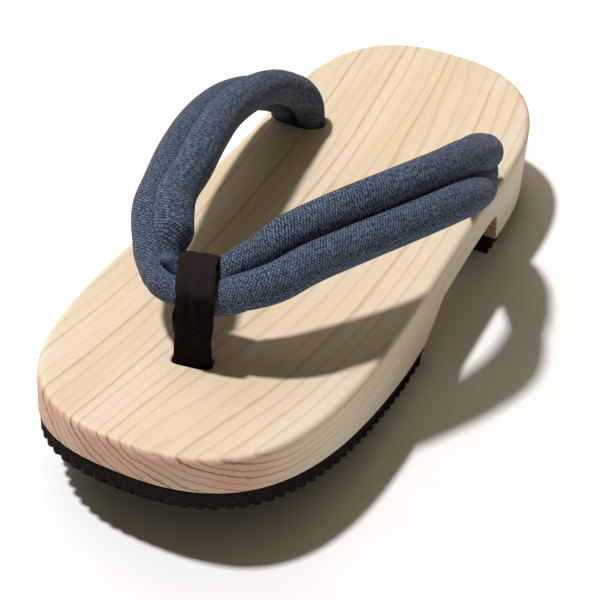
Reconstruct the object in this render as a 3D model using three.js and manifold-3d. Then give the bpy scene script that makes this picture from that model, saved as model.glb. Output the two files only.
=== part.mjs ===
// A wooden sandal of the ukon geta kind: one block of softwood with an arch cut, two rubber soles,
// a padded two-lobed cloth strap in a V, and a velvet thong that holds the strap's point down.
// Millimetres. +Z is up, the toe points along -Y, and the origin lies on the floor under the middle
// of the whole sandal's box.
import * as THREE from 'three';
import { mergeVertices } from 'three/addons/utils/BufferGeometryUtils.js';
import Module from 'manifold-3d';

const wasm = await Module();
wasm.setup();

// ---- Driving dimensions ----
const LENGTH = 250;
const MID_WIDTH = 94.9;           // width that the outline's formula has halfway along
const WIDTH_SLOPE = -41.6;        // change of that width over the whole length, narrower at the heel
const WIDTH_FLARE = 101.2;        // widening towards both ends before they round off
const TOE_ROUND = { share: 0.67, power: 2.5 };
const HEEL_ROUND = { share: 0.28, power: 2.5 };

const DECK_TOE = 38.1;            // height of the deck at the toe's edge
const DECK_HEEL = 36.7;
const DECK_SAG = 5.9;             // how far the deck dips halfway along
const EDGE_RADIUS = 3;

const SOLE_THICKNESS = 6.7;
const GAP = 0.3;
const WOOD_BOTTOM = SOLE_THICKNESS + GAP;
const TOE_BOTTOM = 26.2;          // height of the wood's underside at the toe
const SPRING_POWER = 1.2;
const FLAT_FRONT = -19;           // the front block stands on the stretch between these two
const FLAT_REAR = -5;
const ARCH_FRONT = { y: 6, z: 16.5 };
const ARCH_REAR = { y: 59.5, z: 19.5 };
const HEEL_FRONT = 61.5;

const FRONT_SOLE_INSET = 0.6;
const HEEL_SOLE_INSET = 2.2;

const FRONT_HOLE = { x: -0.4, y: -78.7, halfWidth: 6.3, halfDepth: 3.3, turn: 12.4, floor: 23 };
const REAR_SLOT = { x: 33.6, y: 61.4, halfWidth: 10.2, halfDepth: 5.8, power: 2.6, slant: 22 };

// The band's width runs back as it goes to the right, and from low to high also up.
const BAND = { halfWidth: 5.5, halfThickness: 1.3, back: 0.22, up: 0.06, low: 44, high: 60 };
const BAND_ROUNDNESS = 4;

const OUTLINE_STEPS = 64;
const EDGE_STEPS = 4;
const LOBE_SIDES = 26;
const RINGS_A_ROW = 2;
const BAND_SIDES = 16;
const BAND_STEPS = 22;
const HOLE_SIDES = 28;
const CUT_WIDTH = 140;

// The strap bulges further past the rim on the +X side, so the box's middle lies beside the base's.
const BOX_MIDDLE_SHIFT = -2.7;

// Lobe centres and radii of the strap, from the knot under the right rear slot, round the point
// under the thong, to the knot under the left one. Outer is the lobe by the deck's edge.
const STRAP_ROWS = [
  // outer x, y, z      inner x, y, z      radii
  { outer: [36.0, 52.0, 10.2], inner: [31.2, 52.0, 10.2], outerRadius: 2.4, innerRadius: 2.4 },
  { outer: [36.2, 52.0, 12.0], inner: [31.0, 52.0, 12.0], outerRadius: 6.2, innerRadius: 6.2 },
  { outer: [36.2, 52.6, 14.2], inner: [31.0, 52.6, 14.2], outerRadius: 6.2, innerRadius: 6.2 },
  { outer: [37.4, 56.3, 17.4], inner: [29.4, 56.3, 17.4], outerRadius: 4.5, innerRadius: 4.5 },
  { outer: [37.6, 58.2, 25.0], inner: [29.0, 58.2, 25.0], outerRadius: 4.8, innerRadius: 4.8 },
  { outer: [37.6, 60.9, 31.6], inner: [28.9, 61.0, 31.6], outerRadius: 4.8, innerRadius: 4.9 },
  { outer: [38.0, 59.4, 36.4], inner: [31.0, 61.2, 38.8], outerRadius: 5.0, innerRadius: 5.2 },
  { outer: [39.6, 53.8, 38.9], inner: [36.0, 58.0, 44.2], outerRadius: 5.6, innerRadius: 5.8 },
  { outer: [41.6, 45.6, 39.8], inner: [40.0, 52.4, 47.6], outerRadius: 6.0, innerRadius: 6.1 },
  { outer: [44.6, 35.9, 44.5], inner: [42.6, 43.2, 54.4], outerRadius: 6.1, innerRadius: 6.1 },
  { outer: [47.8, 25.8, 51.2], inner: [43.9, 31.0, 60.8], outerRadius: 6.1, innerRadius: 6.1 },
  { outer: [50.2, 12.4, 57.9], inner: [42.8, 16.6, 66.4], outerRadius: 6.1, innerRadius: 6.1 },
  { outer: [49.8, -0.6, 62.8], inner: [40.8, 3.4, 69.8], outerRadius: 6.1, innerRadius: 6.1 },
  { outer: [43.6, -19.2, 65.2], inner: [34.9, -14.8, 72.2], outerRadius: 6.1, innerRadius: 6.1 },
  { outer: [34.4, -37.0, 65.1], inner: [25.6, -32.4, 71.8], outerRadius: 6.1, innerRadius: 6.1 },
  { outer: [23.8, -55.8, 63.6], inner: [14.8, -49.6, 68.6], outerRadius: 6.1, innerRadius: 6.0 },
  { outer: [17.2, -65.4, 61.0], inner: [11.9, -55.2, 65.7], outerRadius: 6.1, innerRadius: 5.6 },
  { outer: [11.6, -70.0, 59.3], inner: [7.8, -60.4, 63.4], outerRadius: 5.9, innerRadius: 5.2 },
  { outer: [7.8, -72.1, 57.8], inner: [6.2, -62.5, 62.0], outerRadius: 5.8, innerRadius: 4.8 },
  { outer: [4.8, -73.3, 56.6], inner: [4.8, -66.2, 59.8], outerRadius: 5.6, innerRadius: 3.3 },
  { outer: [1.0, -73.9, 55.8], inner: [-0.2, -69.3, 58.5], outerRadius: 5.5, innerRadius: 2.8 },
  { outer: [-5.0, -73.9, 55.2], inner: [-6.8, -69.2, 58.6], outerRadius: 5.5, innerRadius: 2.8 },
  { outer: [-12.0, -72.4, 54.9], inner: [-13.4, -68.5, 58.7], outerRadius: 5.7, innerRadius: 2.7 },
  { outer: [-16.4, -69.6, 54.8], inner: [-16.7, -64.7, 61.7], outerRadius: 5.9, innerRadius: 3.9 },
  { outer: [-21.0, -65.6, 55.6], inner: [-18.5, -59.8, 65.4], outerRadius: 6.1, innerRadius: 5.8 },
  { outer: [-26.6, -58.8, 57.8], inner: [-21.6, -53.2, 68.0], outerRadius: 6.1, innerRadius: 6.1 },
  { outer: [-32.0, -49.4, 60.2], inner: [-23.8, -46.6, 68.8], outerRadius: 6.1, innerRadius: 6.2 },
  { outer: [-35.8, -36.4, 62.0], inner: [-25.4, -33.8, 69.0], outerRadius: 6.1, innerRadius: 6.2 },
  { outer: [-39.9, -18.6, 62.1], inner: [-29.6, -16.2, 68.6], outerRadius: 6.1, innerRadius: 6.2 },
  { outer: [-43.6, 1.4, 60.2], inner: [-33.4, 3.2, 66.4], outerRadius: 6.1, innerRadius: 6.1 },
  { outer: [-45.0, 21.2, 56.8], inner: [-34.8, 22.6, 62.4], outerRadius: 6.1, innerRadius: 6.1 },
  { outer: [-44.2, 38.5, 51.2], inner: [-34.0, 40.3, 56.2], outerRadius: 6.0, innerRadius: 6.1 },
  { outer: [-42.4, 48.4, 46.2], inner: [-32.6, 49.6, 50.6], outerRadius: 5.9, innerRadius: 6.1 },
  { outer: [-40.2, 54.8, 41.8], inner: [-31.0, 56.0, 45.2], outerRadius: 5.5, innerRadius: 6.0 },
  { outer: [-38.9, 58.8, 37.4], inner: [-29.8, 60.0, 39.0], outerRadius: 5.2, innerRadius: 5.7 },
  { outer: [-38.3, 60.9, 31.6], inner: [-28.9, 61.0, 31.6], outerRadius: 4.8, innerRadius: 4.9 },
  { outer: [-38.2, 58.2, 25.0], inner: [-29.0, 58.2, 25.0], outerRadius: 4.8, innerRadius: 4.8 },
  { outer: [-37.6, 56.3, 17.4], inner: [-29.4, 56.3, 17.4], outerRadius: 4.5, innerRadius: 4.5 },
  { outer: [-36.2, 52.6, 14.2], inner: [-31.0, 52.6, 14.2], outerRadius: 6.2, innerRadius: 6.2 },
  { outer: [-36.2, 52.0, 12.0], inner: [-31.0, 52.0, 12.0], outerRadius: 6.2, innerRadius: 6.2 },
  { outer: [-36.0, 52.0, 10.2], inner: [-31.2, 52.0, 10.2], outerRadius: 2.4, innerRadius: 2.4 },
];

// The thong's front leg goes over the strap, and its rear leg comes back down into the same hole.
const FRONT_LEG = [
  { x: -0.4, y: -80.0, z: 25.0 },
  { x: -0.4, y: -80.1, z: 36.0 },
  { x: 0.1, y: -80.6, z: 43.0 },
  { x: 0.8, y: -81.1, z: 50.0 },
  { x: 1.1, y: -81.5, z: 55.0 },
  { x: 0.4, y: -80.2, z: 60.0 },
  { x: -1.6, y: -76.2, z: 63.1 },
  { x: -4.6, y: -69.4, z: 63.7 },
  { x: -5.6, y: -65.4, z: 62.5 },
];
const REAR_LEG = [
  { x: -4.6, y: -69.4, z: 63.7 },
  { x: -5.6, y: -65.4, z: 62.5 },
  { x: -5.7, y: -63.6, z: 59.2 },
  { x: -5.6, y: -64.2, z: 55.0 },
  { x: -5.4, y: -66.0, z: 50.4 },
  { x: -4.9, y: -71.0, z: 47.6 },
  { x: -3.2, y: -75.6, z: 46.4 },
  { x: -1.8, y: -77.2, z: 43.2 },
  { x: -1.0, y: -77.4, z: 37.0 },
  { x: -0.8, y: -77.4, z: 25.0 },
];

// ---- Shapes of the whole sandal ----

// Share along the sandal, 0 at the toe and 1 at the heel.
function along(y) {
  return y / LENGTH + 0.5;
}

// A superellipse quarter: 0 at the very end, 1 where the rounded end is over.
function endRound(distance, { share, power }) {
  const left = Math.max(0, 1 - distance / share);
  return Math.pow(Math.max(0, 1 - Math.pow(left, power)), 1 / power);
}

function halfWidth(u) {
  const offCentre = u - 0.5;
  const width = MID_WIDTH + WIDTH_SLOPE * offCentre + WIDTH_FLARE * offCentre * offCentre;
  return 0.5 * width * endRound(u, TOE_ROUND) * endRound(1 - u, HEEL_ROUND);
}

function deckHeight(y) {
  const u = along(y);
  const fromMiddle = 2 * u - 1;
  const straight = DECK_TOE + (DECK_HEEL - DECK_TOE) * u;
  return straight + DECK_SAG * (fromMiddle * fromMiddle - 1);
}

// Underside of the front block, flat where it stands and rising to the toe.
function frontBottom(y) {
  const share = Math.max(0, (FLAT_FRONT - y) / (FLAT_FRONT + LENGTH / 2));
  return WOOD_BOTTOM + (TOE_BOTTOM - WOOD_BOTTOM) * Math.pow(share, SPRING_POWER);
}

// One side of the outline from toe to heel, moved inwards by inset. Points crowd at both ends.
function sidePoints(inset) {
  const edge = (t) => {
    const u = 0.5 * (1 - Math.cos(Math.PI * t));
    return new THREE.Vector2(halfWidth(u), LENGTH * (u - 0.5));
  };
  const points = [];
  for (let i = 0; i <= OUTLINE_STEPS; i += 1) {
    const t = i / OUTLINE_STEPS;
    const point = edge(t);
    const before = i === 0 ? edge(0).setX(-edge(1e-3).x) : edge(t - 1e-3);
    const after = i === OUTLINE_STEPS ? edge(1).setX(-edge(1 - 1e-3).x) : edge(t + 1e-3);
    if (i === 0) before.setY(edge(1e-3).y);
    if (i === OUTLINE_STEPS) after.setY(edge(1 - 1e-3).y);
    const tangent = after.sub(before).normalize();
    points.push(new THREE.Vector2(point.x - inset * tangent.y, point.y + inset * tangent.x));
  }
  points[0].x = 0;
  points[OUTLINE_STEPS].x = 0;
  return points;
}

// The whole outline, once round: up the +X side and back down the -X side.
function ring(inset) {
  const right = sidePoints(inset);
  const left = right.slice(1, -1).reverse().map((p) => new THREE.Vector2(-p.x, p.y));
  return right.concat(left);
}

// ---- Making solids ----

function meshGeometry(vertices, triangles) {
  const geometry = new THREE.BufferGeometry();
  geometry.setAttribute('position', new THREE.BufferAttribute(new Float32Array(vertices), 3));
  geometry.setIndex(triangles);
  return geometry;
}

// Joins rings of points, all of one length, into a tube whose two ends close on a middle point.
function loft(rings) {
  const sides = rings[0].length;
  const vertices = rings.flat().flatMap((p) => [p.x, p.y, p.z]);
  const triangles = [];
  for (let i = 0; i < rings.length - 1; i += 1) {
    for (let k = 0; k < sides; k += 1) {
      const next = (k + 1) % sides;
      const [a, b] = [i * sides + k, i * sides + next];
      const [c, d] = [a + sides, b + sides];
      triangles.push(a, b, d, a, d, c);
    }
  }
  for (const end of [0, rings.length - 1]) {
    const middle = rings[end].reduce((sum, p) => sum.add(p), new THREE.Vector3());
    middle.divideScalar(sides);
    const index = vertices.length / 3;
    vertices.push(middle.x, middle.y, middle.z);
    for (let k = 0; k < sides; k += 1) {
      const [a, b] = [end * sides + k, end * sides + ((k + 1) % sides)];
      if (end === 0) triangles.push(index, b, a);
      else triangles.push(index, a, b);
    }
  }
  return meshGeometry(vertices, triangles);
}

function toManifold(geometry) {
  const bare = geometry.clone();
  bare.deleteAttribute('normal');
  bare.deleteAttribute('uv');
  const merged = mergeVertices(bare, 1e-4);
  return new wasm.Manifold(new wasm.Mesh({
    numProp: 3,
    vertProperties: new Float32Array(merged.attributes.position.array),
    triVerts: new Uint32Array(merged.index.array),
  }));
}

function fromManifold(solid) {
  const { vertProperties, triVerts } = solid.getMesh();
  return meshGeometry(vertProperties, Array.from(triVerts));
}

// A side view, as points of y and z, carried across the whole width.
function acrossWidth(points) {
  const shape = new THREE.Shape(points.map(([y, z]) => new THREE.Vector2(y, z)));
  const geometry = new THREE.ExtrudeGeometry(shape, { depth: CUT_WIDTH, bevelEnabled: false });
  geometry.translate(0, 0, -CUT_WIDTH / 2);
  geometry.rotateY(Math.PI / 2);
  geometry.rotateX(Math.PI / 2);
  return toManifold(geometry);
}

// The outline carried straight up.
function plate(inset, bottom, top) {
  const shape = new THREE.Shape(ring(inset));
  const geometry = new THREE.ExtrudeGeometry(shape, { depth: top - bottom, bevelEnabled: false });
  geometry.translate(0, 0, bottom);
  return toManifold(geometry);
}

// ---- Base ----

// The block before it is cut below: straight sides, a rounded rim and the dished deck.
function block() {
  const rings = [{ inset: 0, drop: null }];
  for (let i = 0; i <= EDGE_STEPS; i += 1) {
    const turn = (0.5 * Math.PI * i) / EDGE_STEPS;
    const inset = EDGE_RADIUS * (1 - Math.cos(turn));
    rings.push({ inset, drop: EDGE_RADIUS * (1 - Math.sin(turn)) });
  }
  const loops = rings.map(({ inset, drop }) => ring(inset).map((p) => {
    const height = drop === null ? 0 : deckHeight(p.y) - drop;
    return new THREE.Vector3(p.x, p.y, height);
  }));
  const vertices = loops.flat().flatMap((p) => [p.x, p.y, p.z]);
  const sides = loops[0].length;
  const triangles = [];
  for (let i = 0; i < loops.length - 1; i += 1) {
    for (let k = 0; k < sides; k += 1) {
      const next = (k + 1) % sides;
      const [a, b] = [i * sides + k, i * sides + next];
      const [c, d] = [a + sides, b + sides];
      triangles.push(a, b, d, a, d, c);
    }
  }
  // Top and bottom are strips from one side to the mirrored point on the other.
  for (const [start, faceUp] of [[0, false], [(loops.length - 1) * sides, true]]) {
    for (let i = 0; i < OUTLINE_STEPS; i += 1) {
      const right = start + i;
      const rightNext = right + 1;
      const left = start + ((sides - i) % sides);
      const leftNext = start + sides - i - 1;
      const faces = [];
      if (i > 0) faces.push([right, rightNext, left]);
      if (i < OUTLINE_STEPS - 1) faces.push([rightNext, leftNext, left]);
      for (const [a, b, c] of faces) {
        if (faceUp) triangles.push(a, b, c);
        else triangles.push(a, c, b);
      }
    }
  }
  return toManifold(meshGeometry(vertices, triangles));
}

// Points of y and z along the front block's underside, from past the toe to the arch.
function springLine(lower) {
  const steps = 14;
  const toe = -LENGTH / 2;
  const points = [[toe - 10, frontBottom(toe - 10) - lower]];
  for (let i = 0; i < steps; i += 1) {
    const y = toe + ((FLAT_FRONT - toe) * i) / steps;
    points.push([y, frontBottom(y) - lower]);
  }
  points.push([FLAT_FRONT, WOOD_BOTTOM - lower]);
  return points;
}

function underCut() {
  const past = LENGTH / 2 + 10;
  return acrossWidth([
    [past, -5],
    [past, WOOD_BOTTOM],
    [HEEL_FRONT, WOOD_BOTTOM],
    [ARCH_REAR.y, ARCH_REAR.z - 2],
    [ARCH_REAR.y - 2, ARCH_REAR.z],
    [ARCH_FRONT.y + 3, ARCH_FRONT.z + 0.4],
    [ARCH_FRONT.y - 1, ARCH_FRONT.z - 2.6],
    [FLAT_REAR, WOOD_BOTTOM],
    ...springLine(0).reverse(),
    [-past, -5],
  ]);
}

// How far a superellipse of half size 1 reaches in a direction: 2 is a circle, 4 nearly a square.
function squareness(cosine, sine, power) {
  const sum = Math.pow(Math.abs(cosine), power) + Math.pow(Math.abs(sine), power);
  return Math.pow(sum, -1 / power);
}

// An upright superelliptic plug, leant forwards by lean degrees about its centre's height and then
// turned by turn degrees, seen from above.
function hole(centre, halfX, halfY, power, bottom, top, lean = 0, turn = 0) {
  const points = [];
  for (let k = 0; k < HOLE_SIDES; k += 1) {
    const angle = (2 * Math.PI * k) / HOLE_SIDES;
    const [c, s] = [Math.cos(angle), Math.sin(angle)];
    const reach = squareness(c, s, power);
    points.push(new THREE.Vector2(halfX * reach * c, halfY * reach * s));
  }
  const shape = new THREE.Shape(points);
  const geometry = new THREE.ExtrudeGeometry(shape, { depth: top - bottom, bevelEnabled: false });
  geometry.translate(0, 0, bottom - centre.z);
  geometry.rotateX(-THREE.MathUtils.degToRad(lean));
  geometry.rotateZ(THREE.MathUtils.degToRad(turn));
  geometry.translate(centre.x, centre.y, centre.z);
  return toManifold(geometry);
}

function base() {
  const above = 60;
  const { floor, turn } = FRONT_HOLE;
  const foot = { x: FRONT_HOLE.x, y: FRONT_HOLE.y, z: floor };
  let solid = block().subtract(underCut());
  solid = solid.subtract(hole(
    foot, FRONT_HOLE.halfWidth, FRONT_HOLE.halfDepth, BAND_ROUNDNESS, floor, above, 0, turn,
  ));
  for (const side of [1, -1]) {
    const { x, y, halfWidth: wide, halfDepth: deep, power, slant } = REAR_SLOT;
    const centre = { x: side * x, y, z: deckHeight(y) };
    solid = solid.subtract(hole(centre, wide, deep, power, 0, above, slant));
  }
  return fromManifold(solid);
}

// ---- Soles ----

function frontSole() {
  const side = acrossWidth([
    ...springLine(WOOD_BOTTOM),
    [FLAT_REAR, 0],
    [FLAT_REAR, SOLE_THICKNESS],
    ...springLine(GAP).reverse(),
  ]);
  return fromManifold(plate(FRONT_SOLE_INSET, -1, 60).intersect(side));
}

function heelSole() {
  const rear = LENGTH / 2;
  const side = acrossWidth([
    [HEEL_FRONT, 0],
    [rear, 0],
    [rear, SOLE_THICKNESS],
    [HEEL_FRONT, SOLE_THICKNESS],
  ]);
  return fromManifold(plate(HEEL_SOLE_INSET, -1, 20).intersect(side));
}

// ---- Strap and thong ----

// A smooth curve through one named point of every row, read at a share along the rows.
function curveOf(rows, pick) {
  return new THREE.CatmullRomCurve3(rows.map((row) => new THREE.Vector3(...pick(row))));
}

// Radius in direction angle of two joined circles whose centres lie spread to either side.
function lobeRadius(angle, spread, outerRadius, innerRadius) {
  const radius = Math.cos(angle) > 0 ? innerRadius : outerRadius;
  const centre = Math.min(spread, radius * 0.96);
  const sine = centre * Math.sin(angle);
  return centre * Math.abs(Math.cos(angle)) + Math.sqrt(radius * radius - sine * sine);
}

function strap() {
  const outer = curveOf(STRAP_ROWS, (row) => row.outer);
  const inner = curveOf(STRAP_ROWS, (row) => row.inner);
  const radii = curveOf(STRAP_ROWS, (row) => [row.outerRadius, row.innerRadius, 0]);
  const rings = [];
  const steps = RINGS_A_ROW * (STRAP_ROWS.length - 1);
  for (let i = 0; i <= steps; i += 1) {
    const t = i / steps;
    const [a, b] = [outer.getPoint(t), inner.getPoint(t)];
    const middle = a.clone().add(b).multiplyScalar(0.5);
    const forward = outer.getTangent(t).add(inner.getTangent(t)).normalize();
    const across = b.clone().sub(a);
    const spread = across.length() / 2;
    across.addScaledVector(forward, -across.dot(forward)).normalize();
    const up = new THREE.Vector3().crossVectors(across, forward);
    const { x: outerRadius, y: innerRadius } = radii.getPoint(t);
    const points = [];
    for (let k = 0; k < LOBE_SIDES; k += 1) {
      const angle = (2 * Math.PI * (k + 0.5)) / LOBE_SIDES;
      const reach = lobeRadius(angle, spread, outerRadius, innerRadius);
      const point = middle.clone().addScaledVector(across, reach * Math.cos(angle));
      points.push(point.addScaledVector(up, -reach * Math.sin(angle)));
    }
    rings.push(points);
  }
  return loft(rings);
}

// A flat band with rounded edges, carried along the middle line that the rows give.
function bandAlong(rows) {
  const line = curveOf(rows, (row) => [row.x, row.y, row.z]);
  const { back, up, low, high } = BAND;
  const rings = [];
  for (let i = 0; i <= BAND_STEPS; i += 1) {
    const t = i / BAND_STEPS;
    const forward = line.getTangent(t);
    const rise = up * THREE.MathUtils.smoothstep(line.getPoint(t).z, low, high);
    const acrossBand = new THREE.Vector3(1, back, rise);
    const side = acrossBand.addScaledVector(forward, -acrossBand.dot(forward)).normalize();
    const out = new THREE.Vector3().crossVectors(side, forward);
    const points = [];
    for (let k = 0; k < BAND_SIDES; k += 1) {
      const angle = (2 * Math.PI * (k + 0.5)) / BAND_SIDES;
      const [c, s] = [Math.cos(angle), Math.sin(angle)];
      const rounding = squareness(c, s, BAND_ROUNDNESS);
      const point = line.getPoint(t).addScaledVector(side, BAND.halfWidth * rounding * c);
      points.push(point.addScaledVector(out, -BAND.halfThickness * rounding * s));
    }
    rings.push(points);
  }
  return toManifold(loft(rings));
}

function frontThong() {
  return fromManifold(bandAlong(FRONT_LEG).add(bandAlong(REAR_LEG)));
}

// ---- The sandal ----

const cedar = new THREE.MeshStandardMaterial({ color: 0xe9cfa4, roughness: 0.62, metalness: 0 });
const rubber = new THREE.MeshStandardMaterial({ color: 0x1b1a19, roughness: 0.85, metalness: 0 });
const denim = new THREE.MeshStandardMaterial({ color: 0x2f3d57, roughness: 0.9, metalness: 0 });
const velvet = new THREE.MeshStandardMaterial({ color: 0x17110f, roughness: 1, metalness: 0 });

function node(name, geometry, material) {
  const mesh = new THREE.Mesh(geometry, material);
  mesh.name = name;
  return mesh;
}

const sandal = new THREE.Group();
sandal.position.x = BOX_MIDDLE_SHIFT;
sandal.add(node('base', base(), cedar));
sandal.add(node('front_sole', frontSole(), rubber));
sandal.add(node('heel_sole', heelSole(), rubber));
sandal.add(node('strap', strap(), denim));
sandal.add(node('front_thong', frontThong(), velvet));

export default sandal;
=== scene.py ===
"""A wooden sandal of the ukon geta kind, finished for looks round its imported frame.

Sizes are in millimetres and are made metres when a mesh is put together. The shape functions work in
the sandal's own frame, with the centre line of the base at x = 0, and shifted() moves them to the row
frame. The toe points along -Y, and the strap reaches further out on the +X side.
"""

import math

import bmesh
import bpy
import numpy as np
from mathutils import Matrix, Vector


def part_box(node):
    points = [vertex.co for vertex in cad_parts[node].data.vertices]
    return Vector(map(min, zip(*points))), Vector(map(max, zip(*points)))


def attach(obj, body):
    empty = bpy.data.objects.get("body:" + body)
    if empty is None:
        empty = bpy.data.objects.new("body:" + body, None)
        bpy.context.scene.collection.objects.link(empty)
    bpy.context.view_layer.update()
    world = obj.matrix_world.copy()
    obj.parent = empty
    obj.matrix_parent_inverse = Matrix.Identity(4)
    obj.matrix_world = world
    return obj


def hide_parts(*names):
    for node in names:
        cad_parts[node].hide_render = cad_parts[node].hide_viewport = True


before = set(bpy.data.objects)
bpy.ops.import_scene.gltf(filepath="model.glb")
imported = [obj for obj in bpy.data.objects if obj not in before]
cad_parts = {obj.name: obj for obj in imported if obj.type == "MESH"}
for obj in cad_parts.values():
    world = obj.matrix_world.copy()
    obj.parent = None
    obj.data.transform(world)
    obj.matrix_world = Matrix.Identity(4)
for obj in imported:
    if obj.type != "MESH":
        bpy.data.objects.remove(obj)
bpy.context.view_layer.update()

# ---- Sizes ----

MM = 0.001
base_low, base_high = (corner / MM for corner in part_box("base"))
LENGTH = base_high.y - base_low.y
MIDDLE_X = 0.5 * (base_low.x + base_high.x)
TOE = -0.5 * LENGTH
HEEL = 0.5 * LENGTH

# The outline: its width half way along, how that changes towards the heel and towards both ends, and
# the share of the length and the power of each rounded end.
MID_WIDTH = 94.9
WIDTH_SLOPE = -41.6
WIDTH_FLARE = 101.2
TOE_ROUND = {"share": 0.67, "power": 2.5}
HEEL_ROUND = {"share": 0.28, "power": 2.5}

# The deck's height at both ends, its sag between them, and the radii of the block's edges.
DECK_TOE = 38.1
DECK_HEEL = 36.7
DECK_SAG = 5.9
RIM_RADIUS = 2.2
FOOT_EASE = 0.9
EDGE_STEPS = 6
BASE_SPACING = 1.6

# The rubber pads, and the wood's underside: it stands flat between FLAT_FRONT and FLAT_REAR, rises to
# the toe in front, and is cut away as an arch up to the heel block behind.
SOLE_THICKNESS = 6.7
GAP = 0.3
WOOD_BOTTOM = SOLE_THICKNESS + GAP
TOE_BOTTOM = 26.2
SPRING_POWER = 1.2
FLAT_FRONT = -19.0
FLAT_REAR = -5.0
ARCH_FRONT = {"y": 6.0, "z": 16.5}
ARCH_REAR = {"y": 59.5, "z": 19.5}
ARCH_CORNER = 0.9
HEEL_FRONT = 61.5
FRONT_SOLE_INSET = 0.6
HEEL_SOLE_INSET = 2.2
PAD_EDGE = 0.5

# The thong's hole and the strap's slots. A slot leads backwards as it rises by its slant in degrees.
# What cuts one goes on CUTTER_RISE above the deck.
FRONT_HOLE = {
    "x": -0.4, "y": -78.7, "half_width": 6.4, "half_depth": 3.35, "power": 4.0,
    "floor": 23.0, "flare": 0.5, "slant": 0.0, "turn": 12.4,
}
REAR_SLOT = {
    "x": 33.6, "y": 61.4, "half_width": 10.2, "half_depth": 6.25, "power": 2.6,
    "floor": 2.0, "flare": 0.7, "slant": 22.0, "turn": 0.0,
}
CUTTER_RISE = 8.0

# The tread's grooves, and the slow waves in their wear: swing, radians for each millimetre of edge,
# and start.
TREAD_PITCH = 4.6
TREAD_SPACING = TREAD_PITCH / 8.0
TREAD_DEPTH = 1.1
TREAD_WEAR = 0.85
WEAR_WAVES = [(0.20, 0.61, 0.0), (0.14, 1.37, 1.1)]
NOTCH_HEIGHT = 2.5

# Lobe centres and radii of the strap, from the knot under the +X slot, round the point under the
# thong, to the knot under the -X one. Outer is the lobe by the deck's edge.
STRAP_ROWS = np.array([
    # outer x, y, z      inner x, y, z      outer and inner radius
    (36.0, 52.0, 10.2, 31.2, 52.0, 10.2, 2.4, 2.4),
    (36.2, 52.0, 12.0, 31.0, 52.0, 12.0, 6.2, 6.2),
    (36.2, 52.6, 14.2, 31.0, 52.6, 14.2, 6.2, 6.2),
    (37.4, 56.3, 17.4, 29.4, 56.3, 17.4, 4.5, 4.5),
    (37.6, 58.2, 25.0, 29.0, 58.2, 25.0, 4.8, 4.8),
    (37.6, 60.9, 31.6, 28.9, 61.0, 31.6, 4.8, 4.9),
    (38.0, 59.4, 36.4, 31.0, 61.2, 38.8, 5.0, 5.2),
    (39.6, 53.8, 38.9, 36.0, 58.0, 44.2, 5.6, 5.8),
    (41.6, 45.6, 39.8, 40.0, 52.4, 47.6, 6.0, 6.1),
    (44.6, 35.9, 44.5, 42.6, 43.2, 54.4, 6.1, 6.1),
    (47.8, 25.8, 51.2, 43.9, 31.0, 60.8, 6.1, 6.1),
    (50.2, 12.4, 57.9, 42.8, 16.6, 66.4, 6.1, 6.1),
    (49.8, -0.6, 62.8, 40.8, 3.4, 69.8, 6.1, 6.1),
    (43.6, -19.2, 65.2, 34.9, -14.8, 72.2, 6.1, 6.1),
    (34.4, -37.0, 65.1, 25.6, -32.4, 71.8, 6.1, 6.1),
    (23.8, -55.8, 63.6, 14.8, -49.6, 68.6, 6.1, 6.0),
    (17.2, -65.4, 61.0, 11.9, -55.2, 65.7, 6.1, 5.6),
    (11.6, -70.0, 59.3, 7.8, -60.4, 63.4, 5.9, 5.2),
    (7.8, -72.1, 57.8, 6.2, -62.5, 62.0, 5.8, 4.8),
    (4.8, -73.3, 56.6, 4.8, -66.2, 59.8, 5.6, 3.3),
    (1.0, -73.9, 55.8, -0.2, -69.3, 58.5, 5.5, 2.8),
    (-5.0, -73.9, 55.2, -6.8, -69.2, 58.6, 5.5, 2.8),
    (-12.0, -72.4, 54.9, -13.4, -68.5, 58.7, 5.7, 2.7),
    (-16.4, -69.6, 54.8, -16.7, -64.7, 61.7, 5.9, 3.9),
    (-21.0, -65.6, 55.6, -18.5, -59.8, 65.4, 6.1, 5.8),
    (-26.6, -58.8, 57.8, -21.6, -53.2, 68.0, 6.1, 6.1),
    (-32.0, -49.4, 60.2, -23.8, -46.6, 68.8, 6.1, 6.2),
    (-35.8, -36.4, 62.0, -25.4, -33.8, 69.0, 6.1, 6.2),
    (-39.9, -18.6, 62.1, -29.6, -16.2, 68.6, 6.1, 6.2),
    (-43.6, 1.4, 60.2, -33.4, 3.2, 66.4, 6.1, 6.1),
    (-45.0, 21.2, 56.8, -34.8, 22.6, 62.4, 6.1, 6.1),
    (-44.2, 38.5, 51.2, -34.0, 40.3, 56.2, 6.0, 6.1),
    (-42.4, 48.4, 46.2, -32.6, 49.6, 50.6, 5.9, 6.1),
    (-40.2, 54.8, 41.8, -31.0, 56.0, 45.2, 5.5, 6.0),
    (-38.9, 58.8, 37.4, -29.8, 60.0, 39.0, 5.2, 5.7),
    (-38.3, 60.9, 31.6, -28.9, 61.0, 31.6, 4.8, 4.9),
    (-38.2, 58.2, 25.0, -29.0, 58.2, 25.0, 4.8, 4.8),
    (-37.6, 56.3, 17.4, -29.4, 56.3, 17.4, 4.5, 4.5),
    (-36.2, 52.6, 14.2, -31.0, 52.6, 14.2, 6.2, 6.2),
    (-36.2, 52.0, 12.0, -31.0, 52.0, 12.0, 6.2, 6.2),
    (-36.0, 52.0, 10.2, -31.2, 52.0, 10.2, 2.4, 2.4),
])
STRAP_STEPS = 460
STRAP_SIDES = 120

# How many times the strap's directions are averaged along it, which keeps its rings from crossing,
# and how far from the middle a lobe's centre may lie, as a share of the lobe's radius.
EASE_ROUNDS = 40
LOBE_LIMIT = 0.96

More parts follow.
